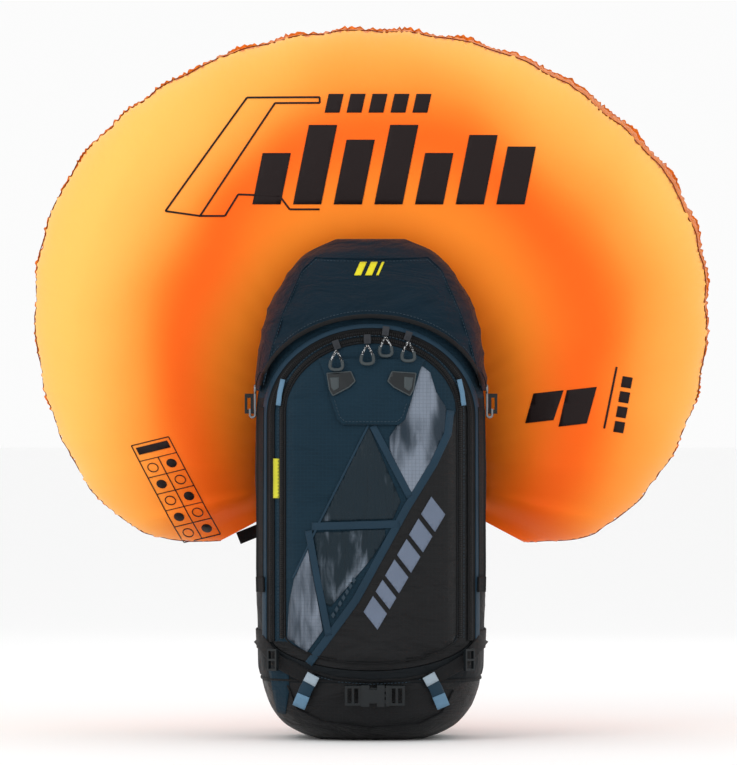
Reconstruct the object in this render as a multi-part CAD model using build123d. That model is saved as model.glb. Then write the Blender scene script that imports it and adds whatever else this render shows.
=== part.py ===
"""Avalanche airbag backpack with the airbag inflated.

Millimetres. The origin is the centre of the flat face that the pack stands on, +Z is up, the wearer's
back is on the +Y side, and the front of the pack faces -Y. The wearer's left is -X.
The bag is a set of sewn panels cut from one lofted shell. Everything that lies on the bag is a layer of
that same loft, grown outwards, so straps, zips and flaps follow the bag's curve.
"""

from build123d import *
import math
import os

os.makedirs("parts", exist_ok=True)

# ---------------------------------------------------------------- driving dimensions
FABRIC = 2.5  # coated fabric with its foam and lining
GAP = 0.4  # between soft layers that lie on each other
WEBBING = 1.6  # thickness of all webbing
WIDE_WEBBING = 20.0
NARROW_WEBBING = 15.0

# Bag sections: height, half width, front, widest depth, back.
BAG = [
    (0, 66, -62, 0, 66),
    (6, 84, -84, -4, 84),
    (20, 106, -103, -8, 96),
    (45, 123, -115, -10, 102),
    (80, 132, -122, -10, 104),
    (130, 136, -126, -10, 105),
    (220, 137, -130, -10, 105),
    (275, 137.7, -129.6, -10, 105),
    (330, 138, -128, -10, 105),
    (400, 136, -121, -10, 105),
    (440, 130, -113, -10, 104),
    (480, 123, -101, -8, 92),
    (520, 110, -84, 0, 68),
    (560, 86, -55, 8, 44),
]
# Lid sections in the same form. The back is cut off at the lid's hinge.
LID = [
    (396, 142, -130, -10, 100),
    (440, 137, -122, -10, 100),
    (480, 131.5, -111, -10, 100),
    (510, 124.5, -98, -5, 95),
    (540, 110, -79, 2, 90),
    (568, 91, -55, 10, 85),
    (584, 72, -33, 16, 75),
    (596, 46, -4, 24, 60),
]
FRONT_ROUNDNESS = 2.6  # superellipse powers of the front and back halves of a section
BACK_ROUNDNESS = 5.0

# The outer zip runs round the front door and the inner zip round the pocket on it.
DOOR = dict(half=118.0, spring=384.0, rise=100.0, foot=118.0, sag=84.0)
POCKET = dict(half=103.0, spring=388.0, rise=86.0, foot=122.0, sag=92.0)
LID_EDGE = dict(half=134.0, spring=404.0, rise=99.0)
ZIP_WIDTH = 6.0
POCKET_DEPTH = 5.0
OPENING_GAP = 3.2  # round the door, under the zip

PULL_OUT = 6.5  # from the slider to the eye of the pull's cord
PULL_LEAN = 9.5  # how far the pull's foot stands in front of the eye
PULL_DROP = 22.0
PULL_HALF = 7.0
PULL_CORD = 2.0
PULL_RADII = [6.0, 2.4, 6.0]
# Name, slider angle from the top of the arch, arch centre, arch radius, depth.
PULLS = [
    ("inner_left_pull", -19.0, 351.0, 126.0, -111.4),
    ("inner_right_pull", -2.0, 351.0, 126.0, -111.0),
    ("outer_left_pull", 7.0, 345.0, 142.5, -104.2),
    ("outer_right_pull", 18.0, 345.0, 142.5, -104.4),
]

DIVIDER_Y = 30.0  # main compartment in front of it, airbag compartment behind it
BACK_Y = 105.0
MOUTH_HALF = 95.0
MOUTH_Z = 458.0
LID_FOOT = 416.0
BASE_TOP = 72.0
COLLAR_Z = 492.0

# Airbag: a horseshoe pillow. Sections fan round a point on the centre line.
FAN_Z = 330.0
AIRBAG_WALL = 0.8
OUTER = dict(half=411.0, rise=325.0, z=532.0, lobe_x=222.0, lobe_half=189.0, lobe_drop=300.0)
NOTCH = dict(half=126.0, rise=195.0, z=290.0)
FAN_STATIONS = 12  # each side of the middle
FAN_SIDES = 20
# Fan angle, half thickness, middle depth.
AIRBAG_FAN = [
    (0, 150, 186),
    (20, 150, 185),
    (40, 146, 180),
    (58, 140, 172),
    (74, 132, 164),
    (90, 118, 155),
    (104, 90, 148),
    (118, 26, 142),
]

CARTRIDGE_R = 19.0
CARTRIDGE_X = 27.0
SYSTEM_Y = 68.0  # depth of the inflator and cartridges
MANIFOLD = (432.0, 478.0)  # bottom and top
DUCT_R = 18.0
DUCT_BORE = 16.6
DUCT_TOP = 572.0  # inside the airbag
NECK_R = 9.0
PIN_R = 3.0
BUTTON_R = 7.0

STRAP_IN, STRAP_OUT = 42.0, 98.0  # shoulder strap edges from the centre line
STRAP_PAD = 9.0
TRIGGER_X = -84.0
CABLE_Z = 404.0  # where the trigger cable goes through the back panel


# ---------------------------------------------------------------- helpers
def slab(x0, x1, y0, y1, z0, z1):
    """Box between two corners."""
    centre = ((x0 + x1) / 2, (y0 + y1) / 2, (z0 + z1) / 2)
    return Pos(*centre) * Box(x1 - x0, y1 - y0, z1 - z0)


def section(stations, i, grow):
    """One closed section of a bag loft: a superellipse with a rounder front than back."""
    z, half, front, middle, back = stations[i]
    points = []
    for step in range(24):
        t = math.radians(15 * step)
        c, s = math.cos(t), math.sin(t)
        power = BACK_ROUNDNESS if s > 0 else FRONT_ROUNDNESS
        reach = (back - middle if s > 0 else middle - front) + grow
        x = (half + grow) * math.copysign(abs(c) ** (2 / power), c)
        y = middle + reach * math.copysign(abs(s) ** (2 / power), s)
        points.append(Vector(x, y, z))
    return Face(Wire([Edge.make_spline(points, periodic=True)]))


def body_loft(stations, grow):
    return loft([section(stations, i, grow) for i in range(len(stations))])


def arch(half, spring, rise, foot, sag, out=0.0):
    """Front-view outline with an elliptical top, straight sides and a sagging foot."""
    w, r = half + out, rise + out
    foot_z, sag_z = foot - out, sag - out
    top = EllipticalCenterArc((0, spring), w, r, start_angle=0, arc_size=180)
    left = Line((-w, spring), (-w, foot_z))
    bottom = ThreePointArc((-w, foot_z), (0, sag_z), (w, foot_z))
    right = Line((w, foot_z), (w, spring))
    return make_face([top, left, bottom, right])


def outline(*points):
    return make_face(Polyline(*points, close=True))


def prism(sketch, y0, y1):
    """Front-view (x, z) sketch pushed from y1 forwards to y0."""
    return extrude(Plane.XZ.offset(-y1) * sketch, amount=y1 - y0)


def layer(near, far):
    """Skin of the bag between two growths."""
    return body_loft(BAG, far) - body_loft(BAG, near)


def both(shape):
    """A piece and its mirror image on the other side."""
    return [shape, mirror(shape, Plane.YZ)]


def ribbon(points, radii, width, thick, side):
    """Webbing or strap that bends in the YZ plane, as wide as `width` along X, from x = side."""
    path = FilletPolyline(*points, radius=radii)
    band = trace(path, thick)
    return extrude(Plane.YZ.offset(side) * band, amount=width)


def frame_lock(width, height, thick, bars=2):
    """Ladder lock or slider: a flat slotted frame in the XZ plane, centred on the origin."""
    rim = 2.4
    body = Box(width, thick, height)
    slot = (height - (bars + 1) * rim) / bars
    for i in range(bars):
        z = -height / 2 + rim + slot / 2 + i * (slot + rim)
        body -= Pos(0, 0, z) * Box(width - 2 * rim, thick * 2, slot)
    return fillet(body.edges().filter_by(Axis.Y).group_by(Axis.X)[0], 1.2)


def solids_of(*shapes):
    found = []
    for shape in shapes:
        found += list(shape.solids())
    return Compound(children=found) if len(found) > 1 else found[0]


PARTS = {}


# ---------------------------------------------------------------- sewn bag panels
def bag_panels():
    inner = [(z, a - FABRIC, f + FABRIC, m, b - FABRIC) for z, a, f, m, b in BAG]
    inner[0] = (3, 74 - FABRIC, -74 + FABRIC, -2, 75 - FABRIC)
    inner[-1] = (561, 86 - FABRIC, -55 + FABRIC, 8, 44 - FABRIC)
    shell = body_loft(BAG, 0) - body_loft(inner, 0)
    door = prism(arch(**DOOR), -200, -55)
    front = shell & prism(arch(**DOOR, out=-OPENING_GAP), -200, -55)
    body = shell - door
    body -= slab(-MOUTH_HALF, MOUTH_HALF, DIVIDER_Y + 4, 140, MOUTH_Z, 620)
    # Grommet hole for the trigger cable.
    body -= Pos(TRIGGER_X, 100, CABLE_Z) * Rot(90, 0, 0) * Cylinder(4.2, 40)
    everything = 400
    above = slab(-everything, everything, -everything, everything, BASE_TOP, 620)
    rear = slab(-everything, everything, 88, everything, BASE_TOP, COLLAR_Z)
    collar = slab(-everything, everything, -everything, DIVIDER_Y + 60, COLLAR_Z, 620)
    PARTS["base_panel"] = body - above
    upper = body & above
    PARTS["back_panel"] = upper & rear
    PARTS["collar"] = upper & collar
    sides = upper - rear - collar
    PARTS["left_side_panel"] = sides & slab(-everything, 0, -400, 400, 0, 620)
    PARTS["right_side_panel"] = sides & slab(0, everything, -400, 400, 0, 620)
    PARTS["front_panel"] = front
    inside = body_loft([(z, a - 3.2, f + 3.2, m, b - 3.2) for z, a, f, m, b in BAG], 0)
    PARTS["divider_panel"] = inside & slab(-200, 200, DIVIDER_Y, DIVIDER_Y + 2, 24, 552)


def lid():
    inner = [(z, a - FABRIC, f + FABRIC, m, b) for z, a, f, m, b in LID]
    inner[0] = (390, 142 - FABRIC, -130 + FABRIC, -10, 100)
    inner[-1] = (593.5, 46, -6, 24, 60)
    shell = body_loft(LID, 0) - body_loft(inner, 0)
    half, spring, rise = LID_EDGE["half"], LID_EDGE["spring"], LID_EDGE["rise"]
    under = EllipticalCenterArc((0, spring), half, rise, start_angle=0, arc_size=180)
    feet = Polyline((-half, spring), (-half, 380), (half, 380), (half, spring))
    shell -= prism(make_face([under, feet]), -200, -30)
    shell &= slab(-200, 200, -200, DIVIDER_Y, LID_FOOT, 600)
    PARTS["lid"] = shell


def front_door():
    thick = layer(GAP, POCKET_DEPTH)
    PARTS["front_pocket"] = thick & prism(arch(**POCKET), -200, -55)
    ring = arch(**POCKET, out=ZIP_WIDTH) - arch(**POCKET, out=0.5)
    PARTS["inner_zip"] = layer(GAP, 3.0) & prism(ring, -200, -55)
    flap = outline((-54, 434), (-44, 399), (-32, 375), (42, 375), (53, 399), (62, 434))
    flap_layer = layer(POCKET_DEPTH + GAP, POCKET_DEPTH + 2.2)
    PARTS["tool_flap"] = flap_layer & prism(flap, -200, -55)
    PARTS["flap_hooks"] = solids_of(flap_hook(-36, 8), flap_hook(38, -8))
    tab = outline((-116, 288), (-109.8, 288), (-109.8, 335), (-116, 335))
    PARTS["yellow_tab"] = layer(GAP, 2.0) & prism(tab, -200, -55)


def flap_hook(x, tilt):
    """Ladder-shaped plastic holder with one open slot and one barred slot."""
    block = Box(26, 3, 21)
    block -= Pos(-5.5 if x > 0 else 5.5, 0, 0) * Box(9, 8, 15)
    block -= Pos(6.5 if x > 0 else -6.5, 0, 0) * Box(8, 8, 15)
    block = fillet(block.edges().filter_by(Axis.Y).group_by(Axis.X)[-1 if x < 0 else 0], 3)
    return Pos(x, -127.4, 416) * Rot(-11, tilt, 0) * block


def outer_zip():
    ring = arch(**DOOR, out=ZIP_WIDTH + 1) - arch(**DOOR, out=0.7)
    ring -= Pos(0, 40) * Rectangle(600, 130)
    PARTS["outer_zip"] = layer(GAP, 2.6) & prism(ring, -200, -40)


def zip_pulls():
    """Slider and moulded pull for each zip end."""
    for name, angle, centre_z, radius, y in PULLS:
        turn = math.radians(angle)
        x, z = radius * math.sin(turn), centre_z + radius * math.cos(turn)
        slider = Box(8, 3.6, 11) - Pos(0, -1.2, -2) * Box(3.4, 1.4, 3)
        PARTS[f"{name}_slider"] = Pos(x, y, z) * Rot(0, angle, 0) * slider
        eye = Vector(x, y - PULL_OUT, z - 2)
        foot = eye + Vector(0, -PULL_LEAN, -PULL_DROP)
        neck = eye + Vector(0, -PULL_LEAN * 0.3, -PULL_DROP * 0.3)
        route = [
            foot + Vector(-PULL_HALF, 0, 0),
            neck + Vector(-2.6, 0, 0),
            eye,
            neck + Vector(2.6, 0, 0),
            foot + Vector(PULL_HALF, 0, 0),
        ]
        path = FilletPolyline(*route, radius=PULL_RADII)
        tube = sweep(Plane(origin=path @ 0, z_dir=path % 0) * Circle(PULL_CORD / 2), path=path)
        bar = fillet(Box(2 * PULL_HALF + 5, 3.2, 5).edges().filter_by(Axis.Y), 1.5)
        PARTS[name] = tube + Pos(foot.X, foot.Y, foot.Z - 1.6) * Rot(-20, 0, 0) * bar


# ---------------------------------------------------------------- straps and small fittings on the bag
def bag_straps():
    slant = ((54, 74), (54, 79), (112, 108), (140, 132), (170, 132), (170, 106), (138, 106), (112, 84))
    lower_front = outline(*slant)
    web = layer(3.0, 4.6)
    lower = web & prism(lower_front, -200, 84)
    upper_tail = web & slab(90, 200, -78, -63, 176, 378)
    PARTS["side_webbing"] = solids_of(*both(lower), *both(upper_tail))
    lock = frame_lock(15, 26, 4)
    right = Pos(116.7, -95.6, 96) * Rot(0, 0, 42) * lock
    buckle = slab(140.5, 151, -34, -14, 388, 412) - slab(144, 148, -40, -5, 393, 407)
    PARTS["side_hardware"] = solids_of(*both(right), *both(buckle))
    loop = layer(3.6, 5.6) & prism(outline((106, 398), (115, 398), (113, 428), (104, 428)), -200, -40)
    axe = layer(3.2, 6.2) & prism(outline((62, 70), (75, 75), (92, 42), (80, 34)), -200, -40)
    PARTS["tool_loops"] = solids_of(*both(loop), *both(axe))


def lid_hooks():
    """Metal S hooks that hold the lid's corners down."""
    for name, side in (("left", -1), ("right", 1)):
        route = [(138, -73, 414), (138, -73, 384), (144, -73, 384), (144, -73, 394)]
        path = FilletPolyline(*route, radius=2.8)
        hook = sweep(Plane(origin=path @ 0, z_dir=path % 0) * Circle(1.5), path=path)
        ring = Pos(138, -73, 417.6) * Rot(0, 90, 0) * Torus(4.2, 1.5)
        whole = hook + ring
        PARTS[f"{name}_lid_hook"] = whole if side > 0 else mirror(whole, Plane.YZ)


def base_buckle():
    """Side-release buckle across the foot of the bag, in two halves."""
    thick = 7.0
    socket = slab(-14, 14, -thick / 2, thick / 2, -13, 13) - slab(-11, 15, -2.2, 2.2, -10.6, 10.6)
    socket -= slab(-4, 5, -6, 6, 8, 14) + slab(-4, 5, -6, 6, -14, -8)
    tail = slab(-33, -14, -2, 2, -12, 12) - slab(-30, -25, -5, 5, -9, 9) - slab(-22, -17, -5, 5, -9, 9)
    place = Pos(2, -125.5, 55) * Rot(11, 0, 0)
    PARTS["base_buckle_socket"] = place * (socket + tail)
    prongs = slab(-9, 15.5, -1.7, 1.7, -1.6, 1.6)
    for s in (-1, 1):
        low, high = sorted((s * 5.0, s * 9.6))
        prongs += slab(-7, 15.5, -1.7, 1.7, low, high)
    stop = slab(15.5, 20, -3, 3, -12.5, 12.5)
    frame = slab(20, 38, -2, 2, -12, 12) - slab(22.5, 27, -5, 5, -9, 9) - slab(30, 35, -5, 5, -9, 9)
    PARTS["base_buckle_prongs"] = place * (prongs + stop + frame)


# ---------------------------------------------------------------- harness
def harness():
    upper = fillet(slab(12, 90, BACK_Y + 3, BACK_Y + 9, 158, 370).edges().filter_by(Axis.Y), 18)
    lumbar = fillet(slab(-106, 106, BACK_Y + 1.5, BACK_Y + 14, 64, 142).edges().filter_by(Axis.Y), 22)
    PARTS["back_pads"] = solids_of(*both(upper), lumbar)
    width = STRAP_OUT - STRAP_IN
    pad_line = [(108.5, 385), (132, 391), (156, 362), (166, 312), (160, 250)]
    pad = ribbon(pad_line, [8, 22, 90], width, STRAP_PAD, STRAP_IN)
    PARTS["right_shoulder_strap"] = pad
    PARTS["left_shoulder_strap"] = mirror(pad, Plane.YZ)
    lower = ribbon([(159.5, 246), (152, 200), (124, 150)], [60], WIDE_WEBBING, WEBBING, 60)
    tail = Pos(-120, 150, 252) * Rot(0, -22, 0) * slab(-45, 45, -0.8, 0.8, -7.5, 7.5)
    PARTS["strap_webbing"] = solids_of(*both(lower), tail)
    lock = Pos(70, 163.4, 239) * Rot(8, 0, 0) * frame_lock(28, 12, 4, bars=1)
    PARTS["strap_locks"] = solids_of(*both(lock))
    loop_line = FilletPolyline((-26, 400), (-20, 432), (20, 432), (26, 400), radius=12)
    PARTS["haul_loop"] = extrude(Plane.XZ.offset(-(BACK_Y + 5)) * trace(loop_line, 6), amount=2)


def sternum_strap():
    band = slab(-62, 62, 172, 172 + WEBBING, 322, 342)
    PARTS["sternum_webbing"] = band
    buckle = slab(-24, 24, 174.2, 181, 318, 346)
    clips = slab(50, 66, 174.2, 178, 319, 345)
    PARTS["sternum_buckle"] = solids_of(buckle, *both(clips))


def hip_belt():
    """Each wing swings on the outer edge of the lumbar pad."""
    line = FilletPolyline((113, 119), (131, 138), (132, 196), (112, 232), radius=[20, 30])
    wing = Pos(0, 0, 66) * extrude(trace(line, 9), amount=62)
    belt_line = FilletPolyline((113, 234), (92, 252), (42, 256), radius=14)
    webbing = Pos(0, 0, 84) * extrude(trace(belt_line, WEBBING), amount=25)
    PARTS["right_hip_wing"] = wing
    PARTS["left_hip_wing"] = mirror(wing, Plane.YZ)
    PARTS["right_hip_webbing"] = webbing
    PARTS["left_hip_webbing"] = mirror(webbing, Plane.YZ)
    prongs = slab(24, 42, 251, 261, 80, 113)
    prongs += slab(8, 24, 254, 258, 82, 87) + slab(8, 24, 254, 258, 106, 111)
    prongs += slab(8, 24, 254.5, 257.5, 94, 99)
    prongs -= slab(32, 38, 240, 270, 84, 109) + slab(37, 43, 254.8, 257.2, 83, 110)
    PARTS["hip_buckle_prongs"] = prongs
    socket = slab(-42, -8, 250, 262, 79, 114) - slab(-30, -7, 253, 259, 81, 112)
    socket -= slab(-39, -34, 240, 270, 84, 109) + slab(-43, -37, 254.8, 257.2, 83, 110)
    PARTS["hip_buckle_socket"] = socket


# ---------------------------------------------------------------- airbag system
def fan_reach(angle):
    """Distances from the fan's centre to the notch and to the outer edge, along one fan direction."""
    u, w = math.sin(math.radians(angle)), math.cos(math.radians(angle))

    def inside_outer(r):
        x, z = abs(r * u), FAN_Z + r * w
        if z >= OUTER["z"]:
            return (x / OUTER["half"]) ** 2 + ((z - OUTER["z"]) / OUTER["rise"]) ** 2 < 1
        drop = ((OUTER["z"] - z) / OUTER["lobe_drop"]) ** 2
        if x < OUTER["lobe_x"]:
            return drop < 1
        return ((x - OUTER["lobe_x"]) / OUTER["lobe_half"]) ** 2 + drop < 1

    def inside_notch(r):
        x, z = abs(r * u), FAN_Z + r * w
        if z <= NOTCH["z"]:
            return x < NOTCH["half"]
        return (x / NOTCH["half"]) ** 2 + ((z - NOTCH["z"]) / NOTCH["rise"]) ** 2 < 1

    reach = []
    for test in (inside_notch, inside_outer):
        low, high = 0.0, 900.0
        while high - low > 0.01:
            middle = (low + high) / 2
            low, high = (middle, high) if test(middle) else (low, middle)
        reach.append(low)
    return reach


def fan_value(angle, column):
    """Half thickness or depth at a fan angle, between the angles in the list."""
    angle = abs(angle)
    for low, high in zip(AIRBAG_FAN, AIRBAG_FAN[1:]):
        if angle <= high[0]:
            share = (angle - low[0]) / (high[0] - low[0])
            return low[column] + share * (high[column] - low[column])
    return AIRBAG_FAN[-1][column]


def airbag_solid(shrink):
    """The pillow's sections as many-sided figures with flat facets between them."""
    faces = []
    end = AIRBAG_FAN[-1][0]
    for station in range(-FAN_STATIONS, FAN_STATIONS + 1):
        angle = end * station / FAN_STATIONS
        near, far = fan_reach(angle)
        u, w = math.sin(math.radians(angle)), math.cos(math.radians(angle))
        across, deep = (far - near) / 2 - shrink, fan_value(angle, 1) - shrink
        middle, depth = (near + far) / 2, fan_value(angle, 2)
        points = []
        for side in range(FAN_SIDES):
            turn = 2 * math.pi * side / FAN_SIDES
            reach = middle + across * math.cos(turn)
            points.append((reach * u, depth + deep * math.sin(turn), FAN_Z + reach * w))
        faces.append(make_face(Polyline(*points, close=True)))
    return loft(faces, ruled=True)


def airbag():
    skin = airbag_solid(0) - airbag_solid(AIRBAG_WALL)
    PARTS["airbag"] = skin - Pos(0, SYSTEM_Y, 540) * Cylinder(DUCT_R + 0.4, 100)
    foot, top = Pos(0, SYSTEM_Y - 4, 486), Pos(0, SYSTEM_Y - 4, 600)
    sleeve = loft([foot * Ellipse(40, 24), top * Ellipse(62, 30)])
    sleeve -= loft([foot * Ellipse(39, 23), top * Ellipse(61, 29)])
    PARTS["airbag_neck"] = sleeve - airbag_solid(-0.5)


def inflator():
    low, high = MANIFOLD
    block = slab(-46, 46, 48, 88, low, high)
    block = fillet(block.edges().filter_by(Axis.Z), 9)
    for s in (-1, 1):
        block -= Pos(s * CARTRIDGE_X, SYSTEM_Y, low + 7) * Cylinder(NECK_R + 0.3, 16)
        block -= Pos(s * CARTRIDGE_X, SYSTEM_Y, 459) * Cylinder(PIN_R + 0.5, 30)
    block -= Pos(0, 52, 455) * Rot(90, 0, 0) * Cylinder(BUTTON_R + 0.5, 16)
    block -= Pos(0, SYSTEM_Y, 476) * Cylinder(DUCT_BORE, 20)
    PARTS["inflator_manifold"] = block
    middle, tall = (high + DUCT_TOP) / 2, DUCT_TOP - high
    PARTS["inlet_duct"] = Pos(0, SYSTEM_Y, middle) * (Cylinder(DUCT_R, tall) - Cylinder(DUCT_BORE, tall))
    flap = Pos(0, SYSTEM_Y, 484) * Cylinder(14.6, 1.6)
    PARTS["check_valve_flap"] = flap


def cartridges():
    for name, side in (("argon_cartridge", -1), ("co2_cartridge", 1)):
        tank = Pos(0, 0, 339) * Cylinder(CARTRIDGE_R, 166)
        tank = fillet(tank.edges(), 12)
        tank += Pos(0, 0, 430) * Cylinder(NECK_R, 24)
        tank -= Pos(0, 0, 437) * Cylinder(PIN_R + 1, 12)
        PARTS[name] = Pos(side * CARTRIDGE_X, SYSTEM_Y, 0) * tank
    for name, side in (("argon_piercing_pin", -1), ("co2_piercing_pin", 1)):
        pin = Pos(0, 0, 453.5) * Cone(0.6, PIN_R, 5) + Pos(0, 0, 463) * Cylinder(PIN_R, 14)
        PARTS[name] = Pos(side * CARTRIDGE_X, SYSTEM_Y, 0) * pin
    plate = slab(-50, 50, 89, 91.5, 300, 372)
    rings = []
    for s in (-1, 1):
        ring = Pos(s * CARTRIDGE_X, SYSTEM_Y, 336) * (Cylinder(21.4, 18) - Cylinder(19.5, 18))
        rings.append(ring)
    PARTS["cartridge_cradle"] = plate + rings[0] + rings[1]
    button = Pos(0, 49, 455) * Rot(90, 0, 0) * Cylinder(BUTTON_R, 10)
    PARTS["deflate_button"] = button


def frame_stay():
    path = FilletPolyline((-92, 92.5, 78), (-92, 92.5, 440), (92, 92.5, 440), (92, 92.5, 78), radius=30)
    PARTS["frame_stay"] = sweep(Plane(origin=path @ 0, z_dir=path % 0) * Circle(2.5), path=path)


def trigger():
    grip = slab(TRIGGER_X - 6, TRIGGER_X + 6, 174, 184, 262, 296)
    grip += slab(TRIGGER_X - 13, TRIGGER_X + 13, 174, 184, 250, 266)
    PARTS["trigger_handle"] = fillet(grip.edges().filter_by(Axis.Y), 3)
    socket = slab(TRIGGER_X - 8, TRIGGER_X + 8, 173.2, 186, 297, 312)
    PARTS["trigger_socket"] = fillet(socket.edges().filter_by(Axis.Z), 3)
    x = TRIGGER_X
    route = [(x, 179, 312.2), (x, 179, 342), (x, 166, 378), (x, 140, CABLE_Z)]
    route += [(x, SYSTEM_Y, CABLE_Z), (x, SYSTEM_Y, 460), (-46.5, SYSTEM_Y, 460)]
    path = FilletPolyline(*route, radius=[25, 25, 25, 16, 16])
    PARTS["trigger_cable"] = sweep(Plane(origin=path @ 0, z_dir=path % 0) * Circle(2.4), path=path)


def anchors():
    tab = Pos(120, 120, 0) * Rot(0, 0, -38) * slab(-0.8, 0.8, -14, 4, 300, 328)
    low = Pos(120, 120, 0) * Rot(0, 0, -38) * slab(-0.8, 0.8, -14, 4, 346, 372)
    PARTS["airbag_anchors"] = solids_of(*both(tab), *both(low))


bag_panels()
lid()
front_door()
outer_zip()
zip_pulls()
bag_straps()
lid_hooks()
base_buckle()
harness()
sternum_strap()
hip_belt()
airbag()
inflator()
cartridges()
frame_stay()
trigger()
anchors()

for node, shape in PARTS.items():
    export_step(shape, f"parts/{node}.step")
    print(node, len(shape.solids()), round(shape.volume), shape.bounding_box())
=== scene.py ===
"""The look of an avalanche airbag backpack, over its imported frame. Lengths are in millimetres."""

import math

import bmesh
import bpy
from mathutils import Matrix, Vector, noise
from mathutils.bvhtree import BVHTree


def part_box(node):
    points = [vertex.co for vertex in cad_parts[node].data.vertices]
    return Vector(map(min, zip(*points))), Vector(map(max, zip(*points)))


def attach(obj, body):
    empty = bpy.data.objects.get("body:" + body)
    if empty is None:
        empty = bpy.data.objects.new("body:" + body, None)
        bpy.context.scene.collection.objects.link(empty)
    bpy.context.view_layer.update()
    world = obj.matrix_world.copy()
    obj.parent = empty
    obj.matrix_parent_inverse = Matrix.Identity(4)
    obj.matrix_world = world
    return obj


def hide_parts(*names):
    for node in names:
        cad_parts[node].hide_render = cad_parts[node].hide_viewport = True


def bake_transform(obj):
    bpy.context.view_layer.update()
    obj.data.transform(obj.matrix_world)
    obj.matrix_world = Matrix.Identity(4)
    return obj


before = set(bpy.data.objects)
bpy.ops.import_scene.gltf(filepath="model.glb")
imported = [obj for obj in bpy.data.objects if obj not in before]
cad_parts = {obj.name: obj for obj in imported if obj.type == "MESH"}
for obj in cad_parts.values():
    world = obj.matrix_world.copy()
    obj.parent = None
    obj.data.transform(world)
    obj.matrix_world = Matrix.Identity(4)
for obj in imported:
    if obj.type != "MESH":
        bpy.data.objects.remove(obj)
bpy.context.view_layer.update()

MM = 0.001

# ---------------------------------------------------------------- driving sizes, as in the frame
# Height, half width, front, widest depth, back.
BAG = [
    (0, 66, -62, 0, 66),
    (6, 84, -84, -4, 84),
    (20, 106, -103, -8, 96),
    (45, 123, -115, -10, 102),
    (80, 132, -122, -10, 104),
    (130, 136, -126, -10, 105),
    (220, 137, -130, -10, 105),
    (275, 137.7, -129.6, -10, 105),
    (330, 138, -128, -10, 105),
    (400, 136, -121, -10, 105),
    (440, 130, -113, -10, 104),
    (480, 123, -101, -8, 92),
    (520, 110, -84, 0, 68),
    (560, 86, -55, 8, 44),
]
LID = [
    (396, 142, -130, -10, 100),
    (440, 137, -122, -10, 100),
    (480, 131.5, -111, -10, 100),
    (510, 124.5, -98, -5, 95),
    (540, 110, -79, 2, 90),
    (568, 91, -55, 10, 85),
    (584, 72, -33, 16, 75),
    (596, 46, -4, 24, 60),
]
DOOR = dict(half=118.0, spring=384.0, rise=100.0, foot=118.0, sag=84.0)
POCKET = dict(half=103.0, spring=388.0, rise=86.0, foot=122.0, sag=92.0)
LID_ARCH = dict(half=134.0, spring=404.0, rise=99.0)
LID_LOW, LID_TOP = 404.0, 596.0
LID_REAR = 30.0
LID_FOOT = 416.0
FAN_Z = 330.0
OUTER = dict(half=411.0, rise=325.0, z=532.0, lobe_x=222.0, lobe_half=189.0, lobe_drop=300.0)
NOTCH = dict(half=126.0, rise=195.0, z=290.0)
# Fan angle, half thickness, middle depth.
FAN = [
    (0, 150, 186),
    (20, 150, 185),
    (40, 146, 180),
    (58, 140, 172),
    (74, 132, 164),
    (90, 118, 155),
    (104, 90, 148),
    (118, 26, 142),
]
FRONT_POWER, BACK_POWER = 2.6, 5.0  # roundness of the front and back halves of a section
PANEL_GAP = 0.5  # between the door's panel and the opening
CLOTH = 2.2  # thickness of the bag's padded cloth
WELD = 0.00002  # metres between points that are one point
FRONT = Vector((0, -1, 0))
SIDES = ((-1, "left"), (1, "right"))

# ---------------------------------------------------------------- camera, light and floor
VIEW_HEIGHT = 918.0  # millimetres that the view takes in from top to bottom
CAMERA_AWAY = 9.0
SENSOR = 36


def place_camera():
    data = bpy.data.cameras.new("camera")
    data.sensor_width = SENSOR
    data.lens = SENSOR * CAMERA_AWAY / (VIEW_HEIGHT * MM)
    data.clip_end = 200
    camera = bpy.data.objects.new("camera", data)
    bpy.context.scene.collection.objects.link(camera)
    camera.location = (-0.003, -CAMERA_AWAY, 0.4253)
    camera.rotation_euler = (math.pi / 2, 0, 0)
    bpy.context.scene.camera = camera


def soft_light(name, place, aim, size, power, colour=(1, 1, 1)):
    data = bpy.data.lights.new(name, "AREA")
    data.shape = "RECTANGLE"
    data.size, data.size_y = size
    data.energy = power
    data.color = colour
    light = bpy.data.objects.new(name, data)
    bpy.context.scene.collection.objects.link(light)
    light.location = place
    light.rotation_euler = (Vector(aim) - Vector(place)).to_track_quat("-Z", "Y").to_euler()


def set_stage():
    scene = bpy.context.scene
    scene.view_settings.view_transform = "Standard"
    world = bpy.data.worlds.new("studio")
    scene.world = world
    world.use_nodes = True
    background = world.node_tree.nodes["Background"]
    background.inputs["Color"].default_value = (1, 1, 1, 1)
    background.inputs["Strength"].default_value = 0.97
    mesh = bpy.data.meshes.new("floor")
    sides, reach = 64, 40
    turns = [math.tau * k / sides for k in range(sides)]
    rim = [(reach * math.cos(turn), reach * math.sin(turn), 0) for turn in turns]
    mesh.from_pydata(rim, [], [list(range(sides))])
    floor = bpy.data.objects.new("floor", mesh)
    scene.collection.objects.link(floor)
    floor.location.z = -0.0006
    mat, _, bsdf = new_material("pale_floor")
    bsdf.inputs["Base Color"].default_value = (0.96, 0.96, 0.96, 1)
    bsdf.inputs["Roughness"].default_value = 0.9
    mesh.materials.append(mat)
    soft_light("key", (-1.9, -2.6, 2.3), (0, 0, 0.5), (1.8, 1.8), 24)
    soft_light("fill", (2.6, -2.6, 1.2), (0, 0, 0.4), (2.2, 2.2), 8)
    soft_light("top", (0, 0.6, 3.2), (0, 0, 0.5), (2.4, 1.6), 3)
    soft_light("back", (0.6, 3.0, 1.8), (0, 0, 0.5), (2.4, 2.0), 5)


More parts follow.
